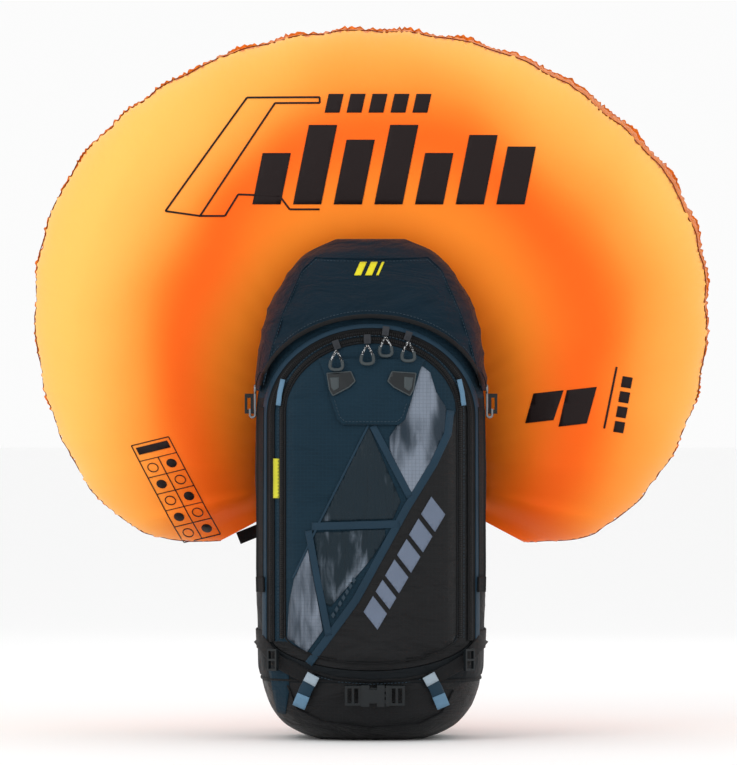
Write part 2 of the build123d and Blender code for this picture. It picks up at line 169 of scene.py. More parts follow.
# ---------------------------------------------------------------- materials
def linear(r, g, b):
    """Screen colour 0 to 255 to the shader's linear colour."""
    shares = (r / 255, g / 255, b / 255)
    return (*(c / 12.92 if c <= 0.0393 else ((c + 0.055) / 1.055) ** 2.4 for c in shares), 1.0)


def new_material(name):
    mat = bpy.data.materials.new(name)
    mat.use_nodes = True
    tree = mat.node_tree
    tree.nodes.clear()
    out = tree.nodes.new("ShaderNodeOutputMaterial")
    bsdf = tree.nodes.new("ShaderNodeBsdfPrincipled")
    tree.links.new(bsdf.outputs[0], out.inputs[0])
    return mat, tree, bsdf


def node(tree, kind, inputs=(), **props):
    """A node with properties, and inputs given as (socket name or number, value or output)."""
    made = tree.nodes.new("ShaderNode" + kind)
    for key, value in props.items():
        setattr(made, key, value)
    for key, value in inputs:
        if isinstance(value, bpy.types.NodeSocket):
            tree.links.new(value, made.inputs[key])
        else:
            made.inputs[key].default_value = value
    return made


def place_of(tree):
    return node(tree, "TexCoord").outputs["Object"]


def cloud(tree, scale, detail=2.0, place=None, distortion=0.0):
    inputs = [("Scale", scale), ("Detail", detail), ("Distortion", distortion)]
    return node(tree, "TexNoise", [("Vector", place or place_of(tree)), *inputs]).outputs[0]


def stretched(tree, **inputs):
    """Object coordinates, moved, turned or scaled."""
    return node(tree, "Mapping", [("Vector", place_of(tree)), *inputs.items()]).outputs[0]


def calc(tree, operation, *values):
    return node(tree, "Math", list(enumerate(values)), operation=operation).outputs[0]


def mixed(tree, share, first, second):
    return node(tree, "Mix", [(0, share), (6, first), (7, second)], data_type="RGBA").outputs[2]


def set_values(bsdf, values):
    for key, value in values.items():
        bsdf.inputs[key].default_value = value


def shade(colour, factor):
    return tuple(min(1, c * factor) for c in colour[:3]) + (1.0,)


def mottled(tree, colour, scale, spread, detail=4.0):
    """A colour that wanders a little over the surface."""
    ramp = node(tree, "MapRange", [("Value", cloud(tree, scale, detail)), (1, 0.3), (2, 0.7)]).outputs[0]
    return mixed(tree, ramp, shade(colour, 1 - spread), shade(colour, 1 + spread))


def weave_height(tree, pitch):
    """Over-and-under threads of that pitch in metres, seen from the front and the sides."""
    scale = math.tau / (20 * pitch)
    waves = []
    for axis in ("X", "Z"):
        inputs = [("Vector", place_of(tree)), ("Scale", scale)]
        waves.append(node(tree, "TexWave", inputs, bands_direction=axis).outputs[1])
    return calc(tree, "ADD", *waves)


def ripstop_height(tree, pitch):
    """Raised lines in a square grid."""
    parts = node(tree, "SeparateXYZ", [(0, place_of(tree))])
    cells = [calc(tree, "PINGPONG", parts.outputs[axis], pitch) for axis in ("X", "Z")]
    return calc(tree, "MAXIMUM", *(calc(tree, "LESS_THAN", cell, pitch * 0.12) for cell in cells))


def bumped(tree, bsdf, layers):
    """Bump from (height, distance in metres, strength) layers, each over the last."""
    normal = None
    for height, distance, strength in layers:
        inputs = [("Height", height), ("Distance", distance), ("Strength", strength)]
        if normal:
            inputs.append(("Normal", normal))
        normal = node(tree, "Bump", inputs).outputs[0]
    tree.links.new(normal, bsdf.inputs["Normal"])


def fabric(name, colour, rough=0.75, weave=0.0011, depth=0.00025, spread=0.12, ripstop=0.0, gloss=0.16,
           wrinkles=0.0):
    """Woven cloth. The pitch of its threads and of its ripstop grid, and all heights, are in metres."""
    mat, tree, bsdf = new_material(name)
    tint = mottled(tree, colour, 14, spread)
    if ripstop:
        tint = mixed(tree, ripstop_height(tree, ripstop), tint, shade(colour, 1.22))
    tree.links.new(tint, bsdf.inputs["Base Color"])
    set_values(bsdf, {
        "Roughness": rough,
        "Sheen Weight": 0.03,
        "Sheen Roughness": 0.4,
        "Specular IOR Level": gloss,
    })
    creases = [("Vector", place_of(tree)), ("Scale", 55), ("Detail", 5), ("Roughness", 0.6)]
    folds = node(tree, "TexNoise", creases).outputs[0]
    layers = [(folds, 0.0024, 0.5), (weave_height(tree, weave), depth, 0.5)]
    if wrinkles:
        slanted = stretched(tree, Rotation=(0.2, 0.45, 0), Scale=(1, 1, 2.8))
        layers.insert(0, (cloud(tree, 12, 4, slanted, 0.6), wrinkles, 0.7))
    if ripstop:
        layers.append((ripstop_height(tree, ripstop), 0.0002, 0.7))
    bumped(tree, bsdf, layers)
    return mat


def smeared(tree, bsdf, height, least, most):
    """Roughness that follows a height."""
    smear = node(tree, "MapRange", [("Value", height), (3, least), (4, most)]).outputs[0]
    tree.links.new(smear, bsdf.inputs["Roughness"])


def plastic(name, colour, rough=0.42):
    mat, tree, bsdf = new_material(name)
    tree.links.new(mottled(tree, colour, 60, 0.08), bsdf.inputs["Base Color"])
    smeared(tree, bsdf, cloud(tree, 140, 5), rough - 0.08, rough + 0.12)
    bsdf.inputs["Specular IOR Level"].default_value = 0.3
    bumped(tree, bsdf, [(cloud(tree, 1800), 0.00008, 0.6)])
    return mat


def metal(name, colour, rough=0.3, metallic=1.0):
    mat, tree, bsdf = new_material(name)
    tree.links.new(mottled(tree, colour, 45, 0.1), bsdf.inputs["Base Color"])
    bsdf.inputs["Metallic"].default_value = metallic
    brush = cloud(tree, 400, 4, stretched(tree, Scale=(1, 1, 12)))
    smeared(tree, bsdf, brush, rough - 0.06, rough + 0.14)
    bumped(tree, bsdf, [(brush, 0.00006, 0.4)])
    return mat


def coated_ripstop(name, dark, bright, low, high):
    """Coated cloth with painted highlights along its wrinkles: a mix from dark to bright, where bright is the
    painted highlight.
    """
    mat, tree, bsdf = new_material(name)
    broad = cloud(tree, 11, 2, stretched(tree, Rotation=(0, 0.35, 0), Scale=(1.5, 1, 0.75)), 0.3)
    folds = cloud(tree, 22, 5, stretched(tree, Rotation=(0, 0.22, 0), Scale=(3.4, 1, 0.7)), 0.6)
    both = calc(tree, "MULTIPLY_ADD", folds, 0.45, broad)
    inputs = [("Value", both), (1, low), (2, high)]
    painted_highlight = node(tree, "MapRange", inputs, interpolation_type="SMOOTHSTEP").outputs[0]
    grid = ripstop_height(tree, 0.0022)
    share = calc(tree, "MULTIPLY", painted_highlight, calc(tree, "MULTIPLY_ADD", grid, -0.22, 1.0))
    tree.links.new(mixed(tree, share, dark, bright), bsdf.inputs["Base Color"])
    set_values(bsdf, {"Roughness": 0.42, "Specular IOR Level": 0.22})
    bumped(tree, bsdf, [(folds, 0.012, 0.6), (grid, 0.0002, 0.6)])
    return mat


def airbag_nylon(name, edge_only=False):
    """Coated nylon with painted light: a painted glow through the cloth, pale at the rim, deep orange in a
    ring round the pack, paler again beside it, and a faint painted glow from its emission.
    """
    mat, tree, bsdf = new_material(name)
    if edge_only:
        # Strong mottling on the seam is painted shade in its pleats.
        colour = mottled(tree, linear(212, 116, 34), 170, 0.34)
    else:
        colour = painted_glow_rings(tree)
    tree.links.new(colour, bsdf.inputs["Base Color"])
    set_values(bsdf, {
        "Roughness": 0.48,
        "Specular IOR Level": 0.1,
        "Subsurface Weight": 0.1,
        "Subsurface Radius": (0.03, 0.012, 0.004),
        # The emission is a painted glow: the nylon shines faintly as if lit from behind.
        "Emission Color": linear(255, 96, 8),
        "Emission Strength": 0.09,
    })
    puckers = cloud(tree, 150 if edge_only else 22, 4)
    depth = 0.004 if edge_only else 0.0008
    bumped(tree, bsdf, [(puckers, depth, 0.3), (ripstop_height(tree, 0.003), 0.0001, 0.3)])
    return mat


def painted_glow_rings(tree):
    """Painted light through the nylon: colour by the distance from the middle of the pack's top, a little
    shifted to one side.
    """
    far = stretched(tree, Location=(0.0, 0, -0.405), Scale=(1, 0, 0.9))
    far = node(tree, "VectorMath", [(0, far)], operation="LENGTH").outputs["Value"]
    wander = node(tree, "MapRange", [("Value", cloud(tree, 3.0)), (3, -0.05), (4, 0.05)]).outputs[0]
    sides = node(tree, "SeparateXYZ", [(0, place_of(tree))]).outputs["X"]
    # A painted lean: the left side, where the light falls, is drawn paler.
    lean = calc(tree, "MULTIPLY", sides, -0.06)
    reach = calc(tree, "ADD", calc(tree, "ADD", far, wander), lean)
    scaled = node(tree, "MapRange", [("Value", reach), (1, 0.10), (2, 0.42)]).outputs[0]
    ramp = node(tree, "ValToRGB", [(0, scaled)])
    ramp.color_ramp.interpolation = "B_SPLINE"
    stops = ramp.color_ramp.elements
    # The pale stops are painted glow, and the deep stop at 0.45 is painted shade in a ring round the pack.
    stops[0].position, stops[0].color = 0.10, linear(246, 130, 36)
    stops[1].position, stops[1].color = 0.86, linear(249, 196, 98)
    for place, colour in ((0.24, (252, 148, 44)), (0.45, (244, 66, 2)), (0.62, (249, 142, 42))):
        stops.new(place).color = linear(*colour)
    return ramp.outputs[0]


def flecked_cord(name, dark, pale):
    mat, tree, bsdf = new_material(name)
    fleck = node(tree, "TexVoronoi", [("Vector", place_of(tree)), ("Scale", 700)]).outputs[0]
    tree.links.new(mixed(tree, calc(tree, "LESS_THAN", fleck, 0.42), dark, pale), bsdf.inputs["Base Color"])
    bsdf.inputs["Roughness"].default_value = 0.8
    bumped(tree, bsdf, [(fleck, 0.0003, 0.6)])
    return mat


MATS = {
    "blue": fabric("blue_pack_cloth", linear(20, 42, 55), ripstop=0.0022, gloss=0.12, wrinkles=0.014),
    "lid": fabric("lid_cloth", linear(4, 28, 41), rough=0.5, gloss=0.1, wrinkles=0.02),
    "black": fabric("black_pack_cloth", linear(19, 20, 22), 0.5, ripstop=0.0024, gloss=0.18, wrinkles=0.018),
    "gusset": fabric("gusset_cloth", linear(15, 20, 24), rough=0.7, wrinkles=0.012),
    "lining": fabric("grey_lining", linear(88, 92, 96), rough=0.8),
    # Lit and shaded copies of one coated cloth: one with painted highlights, and a darker copy with painted
    # shade and fewer highlights.
    "ripstop_painted_highlight": coated_ripstop("coated_ripstop", linear(30, 44, 56), linear(118, 128, 142), 0.58, 0.84),
    "ripstop_painted_shade": coated_ripstop("coated_ripstop_painted_shade", linear(10, 30, 40), linear(112, 124, 138), 0.78, 0.94),
    "band": fabric("blue_band", linear(26, 50, 66), rough=0.5),
    "tape": fabric("zip_tape", linear(14, 15, 17), weave=0.0008, rough=0.7),
    "webbing": fabric("black_webbing", linear(19, 20, 22), weave=0.0016, depth=0.0006, rough=0.7),
    "loops": fabric("pale_blue_loops", linear(96, 130, 156), weave=0.0016, depth=0.0006),
    "silver_loops": fabric("silver_loops", linear(150, 166, 178), weave=0.0016, depth=0.0005, rough=0.5),
    "yellow": fabric("lime_tab", linear(214, 210, 60), weave=0.001),
    "mark": fabric("yellow_print", linear(226, 214, 40), rough=0.6, depth=0.0001),
    "bars": fabric("slate_print", linear(100, 112, 132), rough=0.45, depth=0.0001, gloss=0.3),
    "ink": fabric("dark_print", linear(30, 20, 20), rough=0.55, depth=0.00005, spread=0.05),
    "mesh_pad": fabric("spacer_mesh", linear(44, 47, 51), weave=0.0032, depth=0.0012, rough=0.9),
    "thread": fabric("thread", linear(52, 68, 80), weave=0.0006),
    "pale_thread": fabric("orange_thread", linear(120, 52, 16), weave=0.0006),
    "airbag": airbag_nylon("orange_nylon"),
    "ruffle": airbag_nylon("orange_seam", edge_only=True),
    "buckle": plastic("buckle_plastic", linear(21, 26, 29), rough=0.34),
    "grey": plastic("grey_plastic", linear(58, 66, 69)),
    "red": plastic("red_plastic", linear(196, 40, 22), rough=0.35),
    "orange_grip": plastic("orange_grip", linear(226, 92, 20), rough=0.4),
    "teeth": plastic("zip_teeth", linear(18, 18, 20), rough=0.35),
    "rubber": plastic("black_rubber", linear(22, 22, 23), rough=0.6),
    "steel": metal("bright_steel", linear(190, 192, 196), rough=0.25),
    "hook": metal("anodised_hook", linear(120, 124, 128), rough=0.35),
    "slider": metal("slider_metal", linear(60, 62, 66), rough=0.35),
    "manifold": metal("anodised_manifold", linear(92, 98, 106), rough=0.32),
    "gas": metal("painted_cartridge", linear(52, 84, 120), rough=0.28, metallic=0.35),
    "cord": flecked_cord("flecked_cord", linear(24, 25, 27), linear(200, 202, 204)),
}


# ---------------------------------------------------------------- mesh tools
def piece(name, points, faces, mat, body, smooth=True, thick=0.0):
    """A mesh object from points in millimetres. thick is a solidified wall going inwards."""
    mesh = bpy.data.meshes.new(name)
    mesh.from_pydata([Vector(p) * MM for p in points], [], faces)
    made = bpy.data.objects.new(name, mesh)
    bpy.context.scene.collection.objects.link(made)
    tidy = bmesh.new()
    tidy.from_mesh(mesh)
    bmesh.ops.remove_doubles(tidy, verts=tidy.verts, dist=WELD)
    bmesh.ops.recalc_face_normals(tidy, faces=tidy.faces)
    tidy.to_mesh(mesh)
    tidy.free()
    for poly in mesh.polygons:
        poly.use_smooth = smooth
    mesh.materials.append(MATS[mat])
    if thick:
        add_wall(made, thick, -1)
    if body:
        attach(made, body)
    return made


def add_wall(made, thick, offset=0):
    """Thickness in millimetres, all inside the surface at -1 and half of it on each side at 0."""
    wall = made.modifiers.new("wall", "SOLIDIFY")
    wall.thickness, wall.offset = thick * MM, offset


def grid_faces(rows, columns, closed=False):
    faces = []
    for r in range(rows - 1):
        for c in range(columns if closed else columns - 1):
            d = (c + 1) % columns
            faces.append((r * columns + c, r * columns + d, (r + 1) * columns + d, (r + 1) * columns + c))
    return faces


def at_height(stations, z):
    """Half width, front, middle and back of the section at z, smoothly between the listed ones."""
    z = min(max(z, stations[0][0]), stations[-1][0])
    i = next(k for k in range(len(stations) - 1) if z <= stations[k + 1][0])
    low, high = stations[i], stations[i + 1]
    before = stations[i - 1] if i else low
    after = stations[i + 2] if i + 2 < len(stations) else high
    span = high[0] - low[0]
    t = (z - low[0]) / span
    values = []
    for c in range(1, 5):
        m0 = (high[c] - before[c]) / (high[0] - before[0]) * span
        m1 = (after[c] - low[c]) / (after[0] - low[0]) * span
        values.append((2 * t**3 - 3 * t**2 + 1) * low[c] + (t**3 - 2 * t**2 + t) * m0
                      + (3 * t**2 - 2 * t**3) * high[c] + (t**3 - t**2) * m1)
    return values


def crumple(x, y, z, amount):
    """Soft folds in sewn cloth, as a height above the pattern's surface."""
    slow = noise.noise(Vector((x, y, z * 0.8)) / 62)
    fold = 1 - abs(noise.noise(Vector((x * 0.9 + z * 0.5, y, z * 0.55 - x * 0.2)) / 30)) * 2.2
    return amount * (0.8 * slow + 0.55 * max(0.0, fold - 0.45))


def front_y(x, z, grow=0.0, stations=BAG, amount=1.6):
    """Depth of the bag's front at a point of the front view."""
    half, front, middle, _ = at_height(stations, z)
    share = min(0.999, abs(x) / (half + grow))
    y = middle - (middle - front + grow) * (1 - share**FRONT_POWER) ** (1 / FRONT_POWER)
    return y - crumple(x, y, z, amount)


def ring_point(stations, z, turn, grow=0.0, amount=1.6):
    half, front, middle, back = at_height(stations, z)
    c, s = math.cos(turn), math.sin(turn)
    power = BACK_POWER if s > 0 else FRONT_POWER
    reach = (back - middle if s > 0 else middle - front) + grow
    x = (half + grow) * math.copysign(abs(c) ** (2 / power), c)
    y = middle + reach * math.copysign(abs(s) ** (2 / power), s)
    push = crumple(x, y, z, amount)
    away = Vector((x, y - middle, 0)).normalized()
    return Vector((x, y, z)) + away * push


def arch_top(dims, x, out=0.0):
    """Height of an arch's upper edge at x, grown by out."""
    share = min(1.0, abs(x) / (dims["half"] + out))
    return dims["spring"] + (dims["rise"] + out) * math.sqrt(1 - share**2)


def arch_foot(dims, x, out=0.0):
    """Height of its sagging lower edge at x."""
    bow = math.sqrt(max(0.0, 1 - (x / (dims["half"] + out)) ** 2)) ** 1.3
    return dims["foot"] - out - (dims["foot"] - dims["sag"]) * bow


def arch_line(dims, out=0.0, step=3.0, closed=False):
    """(x, z) points up the left side, over the top and down the right, and along the foot if closed."""
    half, rise, spring = dims["half"] + out, dims["rise"] + out, dims["spring"]
    low = dims["foot"] - out if closed else dims["foot"]
    count = round((spring - low) / step)
    points = [(-half, low + (spring - low) * k / count) for k in range(count)]
    bends = round(math.pi * (half + rise) / 2 / step)
    for k in range(bends + 1):
        bend = math.pi * k / bends
        points.append((-half * math.cos(bend), spring + rise * math.sin(bend)))
    points += [(-x, z) for x, z in reversed(points[:count])]
    if closed:
        count = round(2 * half / step)
        foot = [half - 2 * half * k / count for k in range(1, count)]
        points += [(x, arch_foot(dims, x, out)) for x in foot]
    return points


def inside_arch(dims, x, z, out=0.0):
    return abs(x) < dims["half"] + out and arch_foot(dims, x, out) < z < arch_top(dims, x, out)


def arch_edge(dims, x, z):
    """Roughly how far a point inside an arch is from its edge."""
    share = min(1.0, abs(x) / dims["half"])
    above = (arch_top(dims, x) - z) * (1 - 0.45 * share)
    return max(0.0, min(dims["half"] - abs(x), z - arch_foot(dims, x), above))


def arch_patch(dims, out, grow_at, columns=90, rows=110):
    """Points and faces of the area inside an arch, laid on the bag's front at grow_at(x, z)."""
    points = []
    for r in range(rows):
        v = 0.5 - 0.5 * math.cos(math.pi * r / (rows - 1))
        for c in range(columns):
            x = (dims["half"] + out) * math.sin(math.pi / 2 * (2 * c / (columns - 1) - 1))
            low = arch_foot(dims, x, out)
            z = low + v * (arch_top(dims, x, out) - low)
            points.append((x, front_y(x, z, grow_at(x, z)), z))
    return points, grid_faces(rows, columns)


def drape(name, outline, mat, body, grow, step=5.0, thick=0.7, surface=front_y):
    """A flat pattern piece, given as (x, z) points, laid on the front at that height above it."""
    work = bmesh.new()
    ring = [work.verts.new((x, 0, z)) for x, z in outline]
    work.faces.new(ring)
    for axis in (0, 2):
        low, high = min(p[axis // 2] for p in outline), max(p[axis // 2] for p in outline)
        for k in range(1, int((high - low) / step) + 1):
            spot, normal = [0, 0, 0], [0, 0, 0]
            spot[axis], normal[axis] = low + k * step, 1
            everything = work.verts[:] + work.edges[:] + work.faces[:]
            bmesh.ops.bisect_plane(work, geom=everything, plane_co=spot, plane_no=normal)
    bmesh.ops.triangulate(work, faces=[f for f in work.faces if len(f.verts) > 4])
    work.verts.index_update()
    points = [(v.co.x, surface(v.co.x, v.co.z, grow), v.co.z) for v in work.verts]
    faces = [[v.index for v in f.verts] for f in work.faces]
    work.free()
    made = piece(name, points, faces, mat, body)
    add_wall(made, thick)
    return made


def stroke(line, width):
    """Outline of a line of (x, z) points with that width."""
    left, right = [], []
    for i, (x, z) in enumerate(line):
        a, b = line[max(0, i - 1)], line[min(len(line) - 1, i + 1)]
        along = Vector((b[0] - a[0], b[1] - a[1])).normalized()
        left.append((x - along.y * width / 2, z + along.x * width / 2))
        right.append((x + along.y * width / 2, z - along.x * width / 2))
    return left + right[::-1]


def ribbon(name, line, mat, body, width, grow, thick=1.0, surface=front_y, crown=0.3, closed=False):
    """Tape or webbing that follows (x, z) points over the front, with slightly rolled edges."""
    points = []
    count = len(line)
    for i, (x, z) in enumerate(line):
        a = line[(i - 1) % count] if closed else line[max(0, i - 1)]
        b = line[(i + 1) % count] if closed else line[min(count - 1, i + 1)]
        along = Vector((b[0] - a[0], b[1] - a[1])).normalized()
        for s in (-1, -0.8, 0, 0.8, 1):
            px, pz = x - along.y * width / 2 * s, z + along.x * width / 2 * s
            lift = crown * (1 - abs(s) ** 4)
            points.append((px, surface(px, pz, grow) - lift, pz))
    faces = grid_faces(count, 5)
    if closed:
        faces += [((count - 1) * 5 + c, (count - 1) * 5 + c + 1, c + 1, c) for c in range(4)]
    made = piece(name, points, faces, mat, body)
    add_wall(made, thick)
    return made


def tube(name, points, radius, mat, body, closed=False):
    """Round cord, piping or wire through points in millimetres."""
    curve = bpy.data.curves.new(name, "CURVE")
    curve.dimensions = "3D"
    curve.bevel_depth = radius * MM
    curve.bevel_resolution = 3
    curve.use_fill_caps = True
    line = curve.splines.new("NURBS")
    line.points.add(len(points) - 1)
    for spot, p in zip(line.points, points):
        spot.co = (*(Vector(p) * MM), 1)
    line.use_cyclic_u = closed
    line.order_u = 3
    line.use_endpoint_u = not closed
    curve.materials.append(MATS[mat])
    made = bpy.data.objects.new(name, curve)
    bpy.context.scene.collection.objects.link(made)
    if body:
        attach(made, body)
    return made


def on_front(line, grow, surface=front_y):
    return [Vector((x, surface(x, z, grow), z)) for x, z in line]


BEAD_CORNERS = ((-1, -1, 0), (1, -1, 0), (1, 1, 0), (-1, 1, 0),
                (-0.7, -0.6, 1), (0.7, -0.6, 1), (0.7, 0.6, 1), (-0.7, 0.6, 1))
BEAD_FACES = ((0, 3, 2, 1), (4, 5, 6, 7), (0, 1, 5, 4), (1, 2, 6, 5), (2, 3, 7, 6), (3, 0, 4, 7))


def beads(name, spots, size, mat, body):
    """Many small blocks with knocked-off corners: spots are (centre, along, outward)."""
    points, faces = [], []
    for centre, along, out in spots:
        side = along.cross(out).normalized()
        base = len(points)
        for u, v, w in BEAD_CORNERS:
            points.append(centre + along * u * size[0] / 2 + side * v * size[1] / 2 + out * w * size[2])
        faces += [tuple(base + k for k in face) for face in BEAD_FACES]
    return piece(name, points, faces, mat, body, smooth=False)


def spaced(line, pitch):
    """(point, direction) pairs at an even pitch along 3-D points."""
    found, left = [], 0.0
    for a, b in zip(line, line[1:]):
        span = (b - a).length
        while left < span:
            found.append((a + (b - a) * (left / span), (b - a).normalized()))
            left += pitch
        left -= span
    return found


def stitches(name, line, body, grow, mat="thread", length=2.6, pitch=4.2, surface=front_y):
    spots = [(p, d, FRONT) for p, d in spaced(on_front(line, grow, surface), pitch)]
    return beads(name, spots, (length, 0.8, 0.5), mat, body)


place_camera()
set_stage()


# ---------------------------------------------------------------- sewn bag
def cut_and_snap(points, faces, drop, line, surface, reach=9.0):
    """Removes faces whose corners drop() takes, and moves the new rim onto the line of (x, z) points."""
    kept = [f for f in faces if not all(drop(points[i]) for i in f)]
    uses = {}
    for f in kept:
        for a, b in zip(f, f[1:] + f[:1]):
            uses[frozenset((a, b))] = uses.get(frozenset((a, b)), 0) + 1
    rim = {i for edge, count in uses.items() if count == 1 for i in edge}
    for i in rim:
        x, y, z = points[i]
        if y > -20:
            continue
        near = min(line, key=lambda q: (q[0] - x) ** 2 + (q[1] - z) ** 2)
        if math.hypot(near[0] - x, near[1] - z) < reach:
            points[i] = Vector((near[0], surface(near[0], near[1], 0.0), near[1]))
    return kept


def sew_bag():
    rows, turns = 150, 200
    points = []
    for r in range(rows):
        z = 560 * (r / (rows - 1)) ** 1.12
        points += [ring_point(BAG, z, math.tau * t / turns) for t in range(turns)]
    for p in points[:turns]:
        p.z = 0
    faces = grid_faces(rows, turns, closed=True)
    faces.append(tuple(reversed(range(turns))))
    line = arch_line(DOOR, out=PANEL_GAP, step=1.5, closed=True)

    def drop(p):
        door = p[1] < -30 and inside_arch(DOOR, p[0], p[2], PANEL_GAP)
        mouth = p[1] > 34 and abs(p[0]) < 94 and p[2] > 462
        return door or mouth

    faces = cut_and_snap(points, faces, drop, line, front_y)
    skin = piece("bag_skin", points, faces, "gusset", "bag", thick=CLOTH)
    for extra in ("black", "blue", "mesh_pad"):
        skin.data.materials.append(MATS[extra])
    for poly in skin.data.polygons:
        c = poly.center / MM
        if c.z < 70:
            poly.material_index = 1
        elif c.y > 80 and c.z < 480:
            poly.material_index = 3
        elif c.z > 405:
            poly.material_index = 2
    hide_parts("base_panel", "back_panel", "collar", "left_side_panel", "right_side_panel")
    low, high, steps = 74, 470, 59
    for side, word in SIDES:
        seam = []
        for k in range(steps + 1):
            z = low + (high - low) * k / steps
            half, _, _, back = at_height(BAG, z)
            seam.append(Vector((side * (half - 6), back - 5, z)))
        tube(f"back_seam_{word}", seam, 1.5, "webbing", "bag")
    rim = [ring_point(BAG, 559, math.tau * t / 80) for t in range(80)]
    rim = [p for p in rim if p.y < 38]
    tube("mouth_hem", sorted(rim, key=lambda p: math.atan2(p.x, -p.y)), 2.2, "webbing", "bag")
    low = [ring_point(BAG, 72, math.tau * t / 120, grow=0.6) for t in range(120)]
    tube("base_seam", low, 1.3, "webbing", "bag", closed=True)


def sew_divider():
    points = []
    low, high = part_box("divider_panel")
    rows, columns = 60, 40
    for r in range(rows):
        z = (low[2] + (high[2] - low[2]) * r / (rows - 1)) / MM
        half = at_height(BAG, z)[0] - 4.5
        for c in range(columns):
            x = half * (2 * c / (columns - 1) - 1)
            points.append((x, 31 + crumple(x, 31, z, 1.2), z))
    sheet = piece("divider_cloth", points, grid_faces(rows, columns), "lining", "bag", thick=1.2)
    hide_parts("divider_panel")


def door_grow(x, z):
    """The door lies flat on the bag's front, at the same height everywhere."""
    return 0.3


def pocket_grow(x, z):
    """The pocket swells from its zip to its full height over a short way."""
    edge, full, reach = 1.0, 5.0, 15
    rise = min(1.0, arch_edge(POCKET, x, z) / reach)
    return edge + full * math.sin(rise * math.pi / 2)


def pocket_y(x, z, grow=0.0):
    return front_y(x, z, pocket_grow(x, z) + grow)


def sew_door():
    points, faces = arch_patch(DOOR, -PANEL_GAP, door_grow)
    door = piece("door_panel", points, faces, "gusset", "front_door", thick=CLOTH)
    for extra in ("blue", "black"):
        door.data.materials.append(MATS[extra])
    for poly in door.data.polygons:
        c = poly.center / MM
        blue = c.z > 118 and (c.x < 0 or c.z > 440 - 0.25 * c.x)
        poly.material_index = 1 if blue else 2
    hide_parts("front_panel")
    points, faces = arch_patch(POCKET, -PANEL_GAP, pocket_grow)
    pocket = piece("pocket_panel", points, faces, "blue", "front_door", thick=1.0)
    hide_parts("front_pocket")
    edge = arch_line(POCKET, out=-1.2, step=6, closed=True)
    tube("pocket_piping", on_front(edge, 2.4), 1.3, "webbing", "front_door", closed=True)


def sew_zips():
    line = arch_line(DOOR, out=3.6)
    outer = ribbon("outer_zip_tape", line, "tape", "bag", 6.0, 1.2)
    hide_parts("outer_zip")
    ribbon("outer_zip_door_tape", arch_line(DOOR, out=-1.6), "tape", "front_door", 3.4, 1.2)
    tooth_row("outer_zip_teeth", arch_line(DOOR, out=0.6), 2.2)
    ribbon("outer_zip_cover", arch_line(DOOR, out=8.5), "band", "bag", 5.0, 2.0, crown=0.6)
    inner = ribbon("inner_zip_tape", arch_line(POCKET, out=2.6), "tape", "front_door", 5.4, 1.6)
    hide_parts("inner_zip")
    tooth_row("inner_zip_teeth", arch_line(POCKET, out=2.6), 2.6)
    for letter, out in (("a", -0.2), ("b", 7.2)):
        stitches(f"inner_zip_stitch_{letter}", arch_line(POCKET, out=out, step=6), "front_door", 2.4)


def tooth_row(name, line, grow):
    path = on_front(line, grow)
    beads(name, [(p, d, FRONT) for p, d in spaced(path, 2.4)], (1.5, 4.2, 1.1), "teeth", "front_door")


# Front-view outlines on the pocket, from the top of the pack down.
BLACK_CUT = [(107, 404), (91, 365), (74, 329), (42, 277), (-18, 168), (-42, 135), (-74, 92)]
SHINE = {
    "shine_right": [(58, 447), (70, 437), (77, 414), (88, 397), (92, 374), (81, 351), (50, 293), (42, 296),
                    (22, 346), (22, 361), (33, 378), (48, 428)],
    "shine_corner": [(-75, 229), (-91, 193), (-97, 162), (-99, 122), (-76, 96), (-57, 132)],
    "shine_kite": [(-3, 374), (-60, 261), (26, 264), (35, 285)],
    "shine_low": [(-68, 248), (16, 252), (17, 243), (2, 219), (-48, 160), (-56, 165), (-68, 241)],
}


def in_pocket(outline, inset=2.0):
    """Pulls an outline's points inside the pocket's edge."""
    held = []
    for x, z in outline:
        half = POCKET["half"] - inset
        x = max(-half, min(half, x))
        low, high = arch_foot(POCKET, x) + inset, arch_top(POCKET, x) - inset
        held.append((x, max(low, min(high, z))))
    return held


